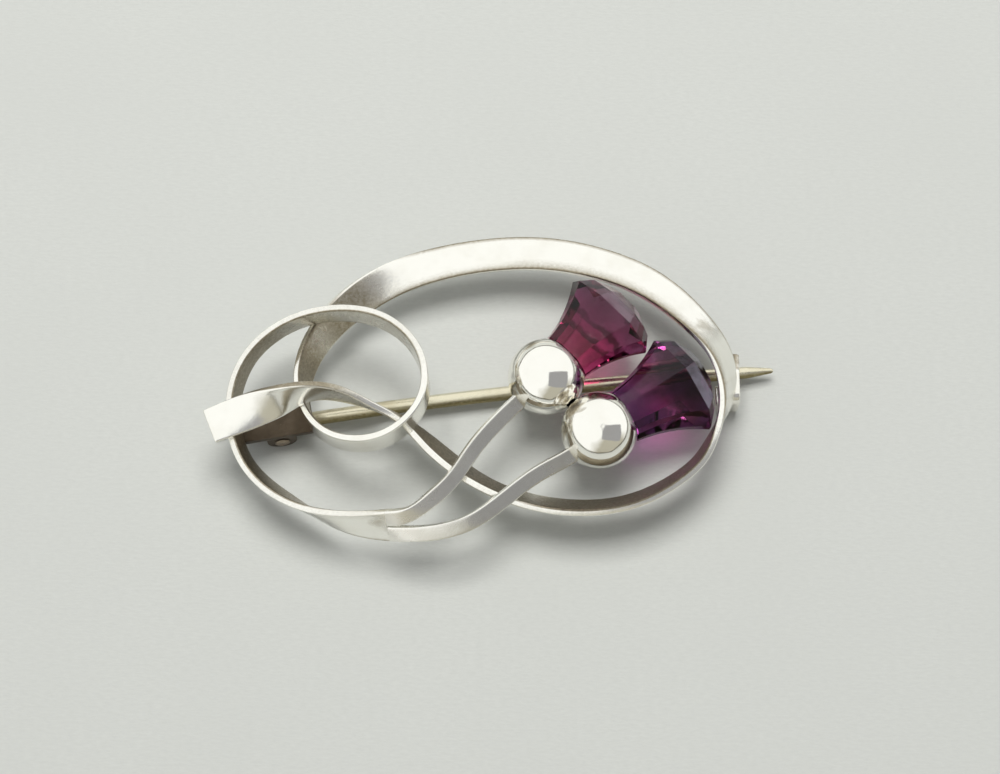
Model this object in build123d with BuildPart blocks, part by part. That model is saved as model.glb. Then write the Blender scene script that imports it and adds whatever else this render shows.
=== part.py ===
from build123d import *
from collections import namedtuple
from math import acos, cos, degrees, radians, sin, sqrt
import os

# A brooch bent from one long silver ribbon: a square-cut tail, an open oval, a small
# loop over it, and two stems split from the ribbon's end. Each stem carries a round
# globe with a fan-shaped cut stone, the two thistle heads. A slightly sprung pin with
# an eye turns on a rivet between two ears and closes beside a hooked catch.
# X runs along the brooch, Y across it, Z up from the surface that it lies on.

# Ribbon
brooch_length = 43.0        # tail end to the right-hand bend
brooch_breadth = 25.0       # across the oval
ribbon_width = 2.9
ribbon_thickness = 0.65
saw_cut = 0.3               # width lost where the ribbon is split in two

# Globes and their seats
globe_radius = 3.1
globe_height = 3.1          # centre above the ribbon's lowest edge
upper_setback = 14.55       # right-hand bend to the upper globe's centre
globe_joint = 0.04          # how far the globes are let into each other
globe_band = 9              # degrees of a globe's outline to each of its narrow bands
seat_offset = 2.25          # flat seat, from the globe's centre

# Stones
upper_girdle = 8.3          # widest part, across
upper_reach = 4.95          # seat to girdle
upper_lean = 2.0
lower_girdle = 8.5
lower_reach = 5.62
lower_lean = 3.0            # degrees that its girdle leans to the upper side
stone_depth = 5.4           # front to back at the girdle
foot_share = 0.53           # a stone's foot, as a share of its girdle
foot_depth_share = 0.74
waist_share = 0.68          # width half way up, a little hollow
waist_depth_share = 0.84
upper_crown = 1.8
upper_shift = 0.0           # of the table, to the upper side
lower_crown = 2.0
lower_shift = 0.55
bevel_rise_share = 0.58     # where the two rows of crown facets meet
bevel_share = 0.8
table_share = 0.45
seat_gap = 0.05

# Pin, hinge and catch
pin_diameter = 1.15
pin_bow = 0.65              # the pin is slightly sprung
pin_straight_start = 0.7    # where the bow ends, along its length
pin_point = 2.2             # length of the point
pin_blunt = 0.18            # radius of the blunt end
eye_radius = 0.95
eye_width = 1.3
rivet_radius = 0.35
rivet_head_radius = 0.62
rivet_head = 0.2
rivet_head_gap = 0.03
ear_radius = 1.2            # the ears' round ends rest on the surface
ear_thickness = 0.8
side_clearance = 0.08       # eye to ear
ear_bore_clearance = 0.03
eye_bore_clearance = 0.05
plate_thickness = 0.7
plate_sink = 0.65           # how far the ribbon's edges are let into the plate
plate_margin = 0.1          # beyond the ears
eye_clearance = 0.1         # eye to plate
catch_strip = 0.5
catch_width = 1.8
catch_arm = 3.3             # straight upper arm
catch_foot = 1.6            # straight lower arm, which rests on the surface
catch_corner = 0.55         # bend radius at the strip's middle
catch_sink = 0.24           # how far the ribbon's edge is let into the upper arm
catch_clearance = 0.15      # lip to pin

# Levels above the surface
pin_level = ear_radius
plate_level = pin_level + eye_radius + eye_clearance
frame_level = plate_level + plate_thickness - plate_sink

Station = namedtuple("Station", "along across height roll")

# The ribbon's centre line: along as a share of the length, across as a share of the
# breadth, height as a share of the ribbon's width above its lowest edge. A roll of 0
# lies flat, 90 stands on the outer edge and -90 on the inner one.
ribbon_stations = [
    Station(-0.523, -0.161, 1.25, 3),
    Station(-0.445, -0.109, 1.36, 28),
    Station(-0.392, -0.079, 1.48, 58),
    Station(-0.354, -0.058, 1.51, 78),
    Station(-0.317, -0.046, 1.37, 89),
    Station(-0.233, -0.068, 0.84, 103),
    Station(-0.178, -0.104, 0.59, 109),
    Station(-0.114, -0.192, 0.45, 122),
    Station(-0.019, -0.317, 0.43, 123),
    Station(0.074, -0.381, 0.43, 124),
    Station(0.173, -0.401, 0.45, 124),
    Station(0.267, -0.376, 0.50, 121),
    Station(0.339, -0.314, 0.57, 116),
    Station(0.388, -0.241, 0.65, 109),
    Station(0.414, -0.161, 0.73, 98),
    Station(0.433, -0.076, 0.80, 80),
    Station(0.439, -0.006, 0.83, 64),
    Station(0.429, 0.102, 0.83, 45),
    Station(0.386, 0.216, 0.81, 29),
    Station(0.289, 0.362, 0.74, 12),
    Station(0.208, 0.424, 0.69, 7),
    Station(0.129, 0.457, 0.65, 3),
    Station(0.043, 0.467, 0.60, 0),
    Station(-0.043, 0.454, 0.55, -2),
    Station(-0.120, 0.426, 0.51, -6),
    Station(-0.187, 0.385, 0.48, -16),
    Station(-0.246, 0.325, 0.45, -30),
    Station(-0.291, 0.257, 0.45, -44),
    Station(-0.335, 0.154, 0.47, -58),
    Station(-0.358, 0.022, 0.50, -73),
    Station(-0.340, -0.114, 0.61, -87),
    Station(-0.280, -0.197, 0.93, -89),
    Station(-0.188, -0.196, 1.41, -92),
    Station(-0.131, -0.094, 1.57, -93),
    Station(-0.134, 0.059, 1.59, -90),
    Station(-0.202, 0.186, 1.51, -91),
    Station(-0.271, 0.219, 1.43, -93),
    Station(-0.381, 0.188, 1.24, -93),
    Station(-0.461, 0.077, 0.87, -88),
    Station(-0.485, -0.084, 0.66, -81),
    Station(-0.456, -0.254, 0.51, -71),
    Station(-0.373, -0.380, 0.50, -69),
    Station(-0.279, -0.452, 0.67, -99),
    Station(-0.191, -0.474, 0.93, -127),
    Station(-0.155, -0.475, 1.02, -138),
]

# The stems, from the first station clear of the split to the last one before the globe
# that each ends in.
upper_stem_stations = [
    Station(-0.114, -0.399, 1.14, -146),
    Station(-0.076, -0.334, 1.10, -150),
    Station(-0.037, -0.234, 1.08, -150),
    Station(0.000, -0.154, 1.07, -150),
    Station(0.044, -0.076, 1.07, -150),
]
lower_stem_stations = [
    Station(-0.100, -0.496, 0.93, -146),
    Station(-0.040, -0.468, 1.06, -150),
    Station(0.025, -0.389, 1.09, -150),
    Station(0.089, -0.305, 1.08, -150),
    Station(0.149, -0.244, 1.07, -150),
]

# Places in plan, as shares of the length and the breadth
upper_globe_across = 0.0155
globe_turn = -47.0          # degrees from X, upper globe to lower globe
upper_stone_turn = 45.0
lower_stone_turn = 31.5
upper_stone_dip = 0.0
lower_stone_dip = 6.0       # the lower stone points slightly down
hinge_place = (-0.4040, -0.0880)
plate_start_share = -0.482  # along, under the loop's side
plate_end_share = -0.340    # along, under the crossing strand
pin_arc_end = (0.5375, 0.0887)    # of the arc that the shank is bent to
catch_along_share = 0.447

# Half of each stone's outline across its axis, in order round it, as shares of half the
# width and half the depth; the other half is the same, turned half round.
upper_outline = [(1, 0.1), (0.85, 0.62), (0.3, 1), (-0.5, 0.95), (-0.85, 0.5), (-1, 0.1)]
lower_outline = [(1, 0.12), (0.86, 0.48), (0.1, 1), (-0.78, 0.72), (-1, 0.12)]


def point_of(station):
    """Centre of a station in millimetres."""
    return Vector(
        station.along * brooch_length,
        station.across * brooch_breadth,
        frame_level + station.height * ribbon_width,
    )


def place_at(place, level):
    """Point in plan, given as shares, at a level above the surface."""
    return Vector(place[0] * brooch_length, place[1] * brooch_breadth, level)


def section_plane(centre, tangent, roll):
    """Plane square to the ribbon, with its X across the ribbon's width."""
    inward = Vector(0, 0, 1).cross(tangent).normalized()
    rise = tangent.cross(inward).normalized()
    across = inward * cos(radians(roll)) + rise * sin(radians(roll))
    return Plane(origin=centre, x_dir=across, z_dir=tangent)


def section_planes(centres, rolls):
    """One plane for each station, square to a smooth line through the centres."""
    line = Edge.make_spline(centres)
    return [section_plane(c, line.tangent_at(c), roll) for c, roll in zip(centres, rolls)]


def band(planes, width, line_shares):
    """Twisted strip: faces between smooth lines along it, at shares of its half width."""
    top = [(share * width / 2, ribbon_thickness / 2) for share in line_shares]
    ring_points = top + [(-x, -y) for x, y in top]
    steps = [0.0]
    for first, second in zip(planes, planes[1:]):
        steps.append(steps[-1] + (second.origin - first.origin).length)
    lines = [
        Edge.make_spline([p.from_local_coords(Vector(x, y, 0)) for p in planes], parameters=steps)
        for x, y in ring_points
    ]
    faces = [Face.make_surface_from_curves(a, b) for a, b in zip(lines, lines[1:] + lines[:1])]
    for plane in (planes[0], planes[-1]):
        ring = [plane.from_local_coords(Vector(x, y, 0)) for x, y in ring_points]
        faces.append(Face(Wire.make_polygon(ring, close=True)))
    return Solid(Shell(faces))


ribbon_planes = section_planes(
    [point_of(s) for s in ribbon_stations],
    [s.roll for s in ribbon_stations],
)
split_plane = ribbon_planes[-1]
stem_width = (ribbon_width - saw_cut) / 2
stem_shift = (ribbon_width + saw_cut) / 4


# The globes' centres: the upper one set back from the right-hand bend, the lower one on it
bend_plane = max(ribbon_planes, key=lambda plane: plane.origin.X)
globe_level = frame_level + globe_height
globe_x = bend_plane.origin.X - upper_setback
upper_globe = Vector(globe_x, upper_globe_across * brooch_breadth, globe_level)
globe_line = Vector(cos(radians(globe_turn)), sin(radians(globe_turn)), 0)
lower_globe = upper_globe + globe_line * (2 * globe_radius - globe_joint)


def stem_planes(stations, globe, side):
    """Planes of a stem, from its half of the ribbon's last section into its globe."""
    start = split_plane.origin + split_plane.x_dir * (side * stem_shift)
    centres = [start] + [point_of(s) for s in stations] + [globe]
    rolls = [ribbon_stations[-1].roll] + [s.roll for s in stations] + [stations[-1].roll]
    planes = section_planes(centres, rolls)
    planes[0] = Plane(origin=start, x_dir=split_plane.x_dir, z_dir=split_plane.z_dir)
    return planes


def seat_plane(globe, turn, dip):
    """Plane through a globe's centre that faces along the stone's axis."""
    flat = cos(radians(dip))
    axis = Vector(flat * cos(radians(turn)), flat * sin(radians(turn)), -sin(radians(dip)))
    side = Vector(-sin(radians(turn)), cos(radians(turn)), 0)
    return Plane(origin=globe, x_dir=side, z_dir=axis)


def stone_ring(outline, width, depth):
    """Corners of a stone's outline across its axis, all the way round."""
    half = [(x * width / 2, y * depth / 2) for x, y in outline]
    return half + [(-x, -y) for x, y in half]


def cut_stone(seat, outline, girdle, reach, lean, crown_height, shift):
    """A flaring stone with lengthwise facets, two rows of crown facets and a table."""
    foot = seat.offset(seat_offset + seat_gap)
    rim = foot.offset(reach).rotated((0, lean, 0))
    body = (
        (foot, foot_share, foot_depth_share),
        (foot.offset(reach / 2), waist_share, waist_depth_share),
        (rim, 1, 1),
    )
    crown = ((0, 1), (bevel_rise_share, bevel_share), (1, table_share))
    with BuildPart() as stone:
        for plane, wide, deep in body:
            with BuildSketch(plane):
                Polygon(*stone_ring(outline, girdle * wide, stone_depth * deep), align=None)
        loft()
        for lower, upper in zip(crown, crown[1:]):
            for rise, share in (lower, upper):
                with BuildSketch(rim.offset(rise * crown_height)):
                    with Locations((rise * shift, 0)):
                        Polygon(*stone_ring(outline, girdle * share, stone_depth * share), align=None)
            loft(ruled=True)
    return stone.part


upper_seat = seat_plane(upper_globe, upper_stone_turn, upper_stone_dip)
lower_seat = seat_plane(lower_globe, lower_stone_turn, lower_stone_dip)
seat_radius = sqrt(globe_radius**2 - seat_offset**2)
seat_angle = degrees(acos(seat_offset / globe_radius))

# A globe's outline, from its back to the edge of its seat
globe_turns = range(180, round(seat_angle + globe_band / 2), -globe_band)
globe_outline = [
    (globe_radius * cos(radians(turn)), globe_radius * sin(radians(turn)))
    for turn in globe_turns
]

# The pin's line: a very flat arc from the rivet, and straight on to its point
hinge_point = place_at(hinge_place, pin_level)
arc_end = place_at(pin_arc_end, pin_level)
arc_side = Vector(0, 0, 1).cross(arc_end - hinge_point).normalized()
arc_middle = (hinge_point + arc_end) * 0.5 + arc_side * pin_bow
whole_arc = Edge.make_three_point_arc(hinge_point, arc_middle, arc_end)
pin_arc = whole_arc.trim(0, pin_straight_start)
pin_heading = pin_arc.tangent_at(0)
straight_start = pin_arc.position_at(1)
straight_heading = pin_arc.tangent_at(1)
straight_length = whole_arc.length - pin_arc.length
straight_plane = Plane(origin=straight_start, x_dir=straight_heading, z_dir=(0, 0, 1))
pin_radius = pin_diameter / 2

# The hinge's plane: X along the pin, Y up, Z along the rivet
hinge_plane = Plane(origin=hinge_point, x_dir=pin_heading, z_dir=pin_heading.cross(Vector(0, 0, 1)))
ear_inner = eye_width / 2 + side_clearance
ear_outer = ear_inner + ear_thickness
plate_rise = plate_level - pin_level
plate_left = (plate_start_share - hinge_place[0]) * brooch_length
plate_right = (plate_end_share - hinge_place[0]) * brooch_length

# The catch's hook, drawn in a plane across the brooch: X away from the bend, Y up. Its
# upper arm takes the ribbon's lower edge, and its lip ends beside the pin.
edge_level = (
    bend_plane.origin.Z
    - abs(bend_plane.x_dir.Z) * ribbon_width / 2
    - abs(bend_plane.y_dir.Z) * ribbon_thickness / 2
)
arm_level = edge_level + catch_sink - catch_strip / 2
foot_level = catch_strip / 2
catch_x = catch_along_share * brooch_length
catch_slope = straight_heading.Y / straight_heading.X
pin_y = straight_start.Y + (catch_x - straight_start.X) * catch_slope
lip_y = pin_y - pin_radius - catch_clearance
catch_origin = (catch_x + catch_width / 2, lip_y - catch_foot, 0)
catch_plane = Plane(origin=catch_origin, x_dir=(0, 1, 0), z_dir=(1, 0, 0))

with BuildPart() as silver_frame:
    # The ribbon and the two stems split from its end
    add(band(ribbon_planes, ribbon_width, (1, 0, -1)))
    add(band(stem_planes(upper_stem_stations, upper_globe, -1), stem_width, (1, -1)))
    add(band(stem_planes(lower_stem_stations, lower_globe, 1), stem_width, (1, -1)))
    # Globes, each with a flat seat for its stone
    for seat in (upper_seat, lower_seat):
        with BuildSketch(Plane(origin=seat.origin, x_dir=seat.z_dir, z_dir=seat.x_dir)):
            with BuildLine():
                Polyline(*globe_outline, (seat_offset, seat_radius), (seat_offset, 0), close=True)
            make_face()
        revolve(axis=Axis(seat.origin, seat.z_dir))
    # Hinge plate, with the ribbon's edges let into its top
    plate_edge = ear_outer + plate_margin
    with BuildSketch(hinge_plane.offset(-plate_edge)):
        with Locations(((plate_left + plate_right) / 2, plate_rise + plate_thickness / 2)):
            Rectangle(plate_right - plate_left, plate_thickness)
    extrude(amount=2 * plate_edge)
    # Two ears below it, bored for the rivet
    for side in (-1, 1):
        with BuildSketch(hinge_plane.offset(side * ear_inner)):
            Circle(ear_radius)
            with Locations((0, (plate_rise + plate_thickness / 2) / 2)):
                Rectangle(2 * ear_radius, plate_rise + plate_thickness / 2)
            Circle(rivet_radius + ear_bore_clearance, mode=Mode.SUBTRACT)
        extrude(amount=side * ear_thickness)
    # Catch, a strip bent to a hook
    with BuildSketch(catch_plane):
        with BuildLine():
            FilletPolyline(
                (catch_foot, foot_level),
                (-catch_corner, foot_level),
                (-catch_corner, arm_level),
                (catch_arm, arm_level),
                radius=catch_corner,
            )
            offset(amount=catch_strip / 2)
        make_face()
    extrude(amount=-catch_width)

upper_sizes = (upper_girdle, upper_reach, upper_lean, upper_crown, upper_shift)
lower_sizes = (lower_girdle, lower_reach, lower_lean, lower_crown, lower_shift)

with BuildPart() as upper_stone:
    add(cut_stone(upper_seat, upper_outline, *upper_sizes))

with BuildPart() as lower_stone:
    add(cut_stone(lower_seat, lower_outline, *lower_sizes))

with BuildPart() as pin_stem:
    # Bowed shank
    with BuildSketch(Plane(origin=hinge_point, z_dir=pin_heading)):
        Circle(pin_radius)
    sweep(path=pin_arc)
    # Straight end with a blunt point
    with BuildSketch(straight_plane):
        with BuildLine():
            Polyline(
                (0, 0),
                (0, pin_radius),
                (straight_length - pin_point, pin_radius),
                (straight_length, pin_blunt),
                (straight_length, 0),
                close=True,
            )
        make_face()
    revolve(axis=Axis(straight_start, straight_heading))
    # Eye round the rivet
    with BuildSketch(hinge_plane.offset(-eye_width / 2)):
        Circle(eye_radius)
    extrude(amount=eye_width)
    with BuildSketch(hinge_plane.offset(-eye_width / 2)):
        Circle(rivet_radius + eye_bore_clearance)
    extrude(amount=eye_width, mode=Mode.SUBTRACT)

with BuildPart() as hinge_rivet:
    rivet_end = ear_outer + rivet_head_gap
    with BuildSketch(hinge_plane.offset(-rivet_end)):
        Circle(rivet_radius)
    extrude(amount=2 * rivet_end)
    for side in (-1, 1):
        with BuildSketch(hinge_plane.offset(side * rivet_end)):
            Circle(rivet_head_radius)
        extrude(amount=side * rivet_head)

silver_frame.part.label = "silver_frame"
upper_stone.part.label = "upper_stone"
lower_stone.part.label = "lower_stone"
pin_stem.part.label = "pin_stem"
hinge_rivet.part.label = "hinge_rivet"

os.makedirs("parts", exist_ok=True)
export_step(silver_frame.part, "parts/silver_frame.step")
export_step(upper_stone.part, "parts/upper_stone.step")
export_step(lower_stone.part, "parts/lower_stone.step")
export_step(pin_stem.part, "parts/pin_stem.step")
export_step(hinge_rivet.part, "parts/hinge_rivet.step")
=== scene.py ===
import math
import bpy
import bmesh
import numpy as np
from mathutils import Matrix, Vector, noise


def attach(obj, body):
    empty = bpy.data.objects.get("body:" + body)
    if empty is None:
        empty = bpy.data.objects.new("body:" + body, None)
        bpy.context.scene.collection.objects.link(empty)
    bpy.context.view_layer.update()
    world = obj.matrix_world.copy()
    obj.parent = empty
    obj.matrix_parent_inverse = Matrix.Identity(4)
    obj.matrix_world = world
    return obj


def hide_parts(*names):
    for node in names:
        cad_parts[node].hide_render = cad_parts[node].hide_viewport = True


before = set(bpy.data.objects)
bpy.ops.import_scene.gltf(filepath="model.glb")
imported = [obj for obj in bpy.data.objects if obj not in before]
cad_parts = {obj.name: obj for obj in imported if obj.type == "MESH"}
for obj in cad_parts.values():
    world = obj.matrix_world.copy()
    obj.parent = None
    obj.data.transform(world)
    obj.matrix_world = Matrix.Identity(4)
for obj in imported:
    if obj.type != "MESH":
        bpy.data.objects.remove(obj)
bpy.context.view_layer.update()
mm = 0.001
print("thistle brooch: frame loaded")

# sizes in mm that several pieces share, the same as in the part
brooch = {
    "length": 43.0,
    "breadth": 25.0,
    "ribbonLevel": 2.3,      # lowest edge of the ribbon
    "ribbonWidth": 2.9,
    "thickness": 0.65,
    "globeRadius": 3.1,
    # turn and dip of the axis through a globe and its stone, in degrees
    "upperGlobe": {"centre": (4.327, 0.3875, 5.4), "turn": 45.0, "dip": 0.0},
    "lowerGlobe": {"centre": (8.528, -4.1176, 5.4), "turn": 31.5, "dip": 6.0},
    "seatOffset": 2.25,      # flat for the stone, from the globe's centre
    "hinge": (-17.372, -2.2, 1.2),     # the rivet's middle
    "pinHeading": (0.985157, 0.171653, 0.0),
    "viewAngle": 70.5,       # degrees that the camera looks down
}
upwards = Vector((0, 0, 1))
viewTurn = math.radians(brooch["viewAngle"])
viewUp = Vector((0, math.sin(viewTurn), math.cos(viewTurn)))
viewBack = Vector((0, -math.cos(viewTurn), math.sin(viewTurn)))


# small helpers

def smoothRows(rows, knots, where):
    # natural cubic through the rows, read at other places
    rows, knots, where = np.array(rows, float), np.array(knots, float), np.array(where, float)
    gap = np.diff(knots)
    slope = np.diff(rows, axis=0) / gap[:, None]
    count = len(knots)
    grid, right = np.eye(count), np.zeros_like(rows)
    for i in range(1, count - 1):
        grid[i, i - 1:i + 2] = gap[i - 1], 2 * (gap[i - 1] + gap[i]), gap[i]
        right[i] = 6 * (slope[i] - slope[i - 1])
    bend = np.linalg.solve(grid, right)
    cell = np.clip(np.searchsorted(knots, where, side="right") - 1, 0, count - 2)
    h, t = gap[cell][:, None], (where - knots[cell])[:, None]
    a, b = bend[cell], bend[cell + 1]
    start = slope[cell] - h * (2 * a + b) / 6
    return rows[cell] + t * start + t * t * a / 2 + t ** 3 * (b - a) / (6 * h)


def unit(rows):
    return rows / np.linalg.norm(rows, axis=-1, keepdims=True)


def roundedSection(width, thickness, corner, dome, flats=10, arcs=5):
    # (across, up) points round a strip's section
    w, t = width / 2 - corner, thickness / 2 - corner
    points = []
    for sideU, sideV, first in ((1, -1, -90), (1, 1, 0), (-1, 1, 90), (-1, -1, 180)):
        for k in range(arcs + 1):
            a = math.radians(first + 90 * k / arcs)
            points.append((sideU * w + corner * math.cos(a), sideV * t + corner * math.sin(a)))
        if sideU * sideV > 0:     # after this corner comes a wide face
            for k in range(1, flats):
                points.append((sideU * w * (1 - 2 * k / flats), sideV * thickness / 2))
    points = np.array(points)
    share = np.clip(1 - (points[:, 0] / (width / 2)) ** 2, 0, 1)
    points[:, 1] *= 1 - dome * (1 - share) / (thickness / 2)
    return points


def basisOf(first, second, third, place):
    made = Matrix((first, second, third)).transposed().to_4x4()
    made.translation = place
    return made


def placed(name, thing):
    piece = bpy.data.objects.new(name, thing)
    bpy.context.scene.collection.objects.link(piece)
    return piece


def finishedPiece(name, mesh, finish, body, replaced, join=0.0):
    # faces outwards, doubles joined, and known to the frame
    cleaned = bmesh.new()
    cleaned.from_mesh(mesh)
    if join:
        bmesh.ops.remove_doubles(cleaned, verts=cleaned.verts, dist=join)
    bmesh.ops.recalc_face_normals(cleaned, faces=cleaned.faces)
    cleaned.to_mesh(mesh)
    cleaned.free()
    mesh.materials.clear()
    mesh.materials.append(finish)
    piece = placed(name, mesh)
    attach(piece, body)
    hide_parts(replaced)
    return piece


def meshPiece(name, verts, faces, finish, body, replaced):
    mesh = bpy.data.meshes.new(name)
    mesh.from_pydata([Vector(v) * mm for v in verts], [], faces)
    mesh.validate()
    for polygon in mesh.polygons:
        polygon.use_smooth = True
    return finishedPiece(name, mesh, finish, body, replaced)


def paint(piece, name, values):
    attribute = piece.data.attributes.new(name, "FLOAT", "POINT")
    attribute.data.foreach_set("value", np.array(values, np.float32))


def lengthsAlong(centres):
    return np.concatenate([[0], np.cumsum(np.linalg.norm(np.diff(centres, axis=0), axis=1))])


# how a strip's end is rounded: mm from the end, mm that the section shrinks there, and added rings
easedEnd = {
    "away": [0.0, 0.03, 0.075, 0.13],
    "inset": [0.11, 0.05, 0.015, 0.0],
    "rings": np.array((0.015, 0.04, 0.08, 0.13)),
}


def stripMesh(name, rows, thickness, shape, finish, seed, roundStart=True, roundEnd=True):
    # sweeps a rounded flat section along dense rows; the two ends are closed
    centres, acrosses, risers, widths = rows
    wobble = shape["wobble"]
    along = lengthsAlong(centres)
    insetAt = np.zeros(len(centres))
    if roundStart:
        insetAt = np.maximum(insetAt, np.interp(along, easedEnd["away"], easedEnd["inset"]))
    if roundEnd:
        insetAt = np.maximum(insetAt, np.interp(along[-1] - along, easedEnd["away"], easedEnd["inset"]))
    verts, acrossMarks, alongMarks, faceMarks = [], [], [], []
    for i in range(len(centres)):
        points = roundedSection(widths[i], thickness, shape["corner"], shape["dome"])
        inset = insetAt[i]
        half = widths[i] / 2
        u = points[:, 0] * (half - inset) / half
        v = points[:, 1] * (thickness / 2 - inset) / (thickness / 2)
        for k in range(len(points)):
            spot = centres[i] + acrosses[i] * u[k] + risers[i] * v[k]
            dip = noise.noise(Vector(spot) * 0.55 + Vector((seed, 0, 0)))
            fine = noise.noise(Vector(spot) * 1.9 + Vector((0, seed, 0)))
            away = unit((acrosses[i] * u[k] * 0.25 + risers[i] * v[k] * 2)[None])[0]
            verts.append(spot - away * wobble * (0.5 + 0.38 * dip + 0.16 * fine))
        acrossMarks.extend(points[:, 0] / half)
        faceMarks.extend(points[:, 1] / (thickness / 2))
        alongMarks.extend([along[i]] * len(points))
    size = len(points)
    faces = []
    for i in range(len(centres) - 1):
        for k in range(size):
            a, b = i * size + k, i * size + (k + 1) % size
            faces.append((a, b, b + size, a + size))
    faces.append(tuple(range(size)))
    faces.append(tuple(range((len(centres) - 1) * size, len(centres) * size)))
    piece = meshPiece(name, verts, faces, finish, "brooch", "silver_frame")
    paint(piece, "along", alongMarks)
    paint(piece, "across", acrossMarks)
    paint(piece, "face", faceMarks)
    return piece


def stainAndShade(piece, spots, amount=0.0):
    # spots: (x, y, z, reach, strength) in mm; the strongest one near a point counts; amount brings the caller's
    # tarnish and painted shade
    count = len(piece.data.vertices)
    co = np.zeros(count * 3)
    piece.data.vertices.foreach_get("co", co)
    co = co.reshape(-1, 3) / mm
    amount = np.zeros(count) + amount
    x, y, z = (co * 2.6).T
    ragged = 1 + 0.34 * np.sin(x + 1.7 * np.sin(y * 1.3)) * np.cos(y * 1.6 - z * 1.9)
    for *spot, reach, strength in spots:
        away = np.linalg.norm(co - np.array(spot), axis=1) * ragged
        amount = np.maximum(amount, strength * np.clip(1 - away / reach, 0, 1) ** 0.8)
    paint(piece, "tarnishAndShade", amount)


def marks(piece, name):
    values = np.zeros(len(piece.data.vertices), np.float32)
    piece.data.attributes[name].data.foreach_get("value", values)
    return values


def tarnishAndShadeZones(piece, knots, zones, spots):
    # zones of tarnish and painted dark reflection: (first station, last station, side, strength), faded over
    # about a station
    fade = 1.2
    at = np.interp(marks(piece, "along"), knots, np.arange(len(knots)))
    across, face = marks(piece, "across"), marks(piece, "face")
    onTop, below, onEdge = face > 0.5, face < -0.5, abs(face) < 0.6
    highLine, lowLine = np.clip(across * 6 - 4.7, 0, 1), np.clip(-across * 6 - 4.7, 0, 1)
    sides = {
        "top": face > 0.9,
        "under": face < -0.9,
        "high": (across > 0.9) & onEdge,
        "low": (across < -0.9) & onEdge,
        "topHighLine": onTop * highLine,
        "topLowLine": onTop * lowLine,
        "underHighLine": below * highLine,
        "underLowLine": below * lowLine,
        "topHighHalf": onTop * np.clip(across * 0.95 + 0.1, 0, 1) ** 2.2,
        "underLowHalf": below * np.clip(0.15 - across * 0.9, 0, 1) ** 1.5,
    }
    amount = np.zeros(len(at))
    for first, last, side, strength in zones:
        inside = np.clip((at - first) / fade + 0.5, 0, 1) * np.clip((last - at) / fade + 0.5, 0, 1)
        amount = np.maximum(amount, inside * sides[side] * strength)
    stainAndShade(piece, spots, amount)


# finishes

def newFinish(name):
    finish = bpy.data.materials.new(name)
    finish.use_nodes = True
    tree = finish.node_tree
    tree.nodes.clear()
    return finish, tree


def add(tree, kind, settings=None, **sockets):
    made = tree.nodes.new("ShaderNode" + kind)
    for key, value in (settings or {}).items():
        setattr(made, key, value)
    for key, value in sockets.items():
        socket = made.inputs[key.replace("_", " ")]
        if isinstance(value, bpy.types.NodeSocket):
            tree.links.new(value, socket)
        else:
            socket.default_value = value
    return made


def blendColour(tree, factor, first, second):
    made = tree.nodes.new("ShaderNodeMix")
    made.data_type = "RGBA"
    for index, value in ((0, factor), (6, first), (7, second)):
        if isinstance(value, bpy.types.NodeSocket):
            tree.links.new(value, made.inputs[index])
        else:
            made.inputs[index].default_value = value if index == 0 else (*value, 1)
    return made.outputs[2]


def sums(tree, operation, first, second, clamp=False):
    made = tree.nodes.new("ShaderNodeMath")
    made.operation = operation
    made.use_clamp = clamp
    for index, value in ((0, first), (1, second)):
        if isinstance(value, bpy.types.NodeSocket):
            tree.links.new(value, made.inputs[index])
        else:
            made.inputs[index].default_value = value
    return made.outputs[0]


def spread(tree, value, low, high, outLow=0.0, outHigh=1.0):
    made = tree.nodes.new("ShaderNodeMapRange")
    tree.links.new(value, made.inputs[0])
    for index, number in ((1, low), (2, high), (3, outLow), (4, outHigh)):
        made.inputs[index].default_value = number
    return made.outputs[0]


def mark(tree, name):
    return add(tree, "Attribute", {"attribute_name": name}).outputs["Fac"]


def alongAxis(tree, direction, axis):
    made = add(tree, "VectorMath", {"operation": "DOT_PRODUCT"})
    tree.links.new(direction, made.inputs[0])
    made.inputs[1].default_value = axis
    return made.outputs["Value"]


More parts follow.
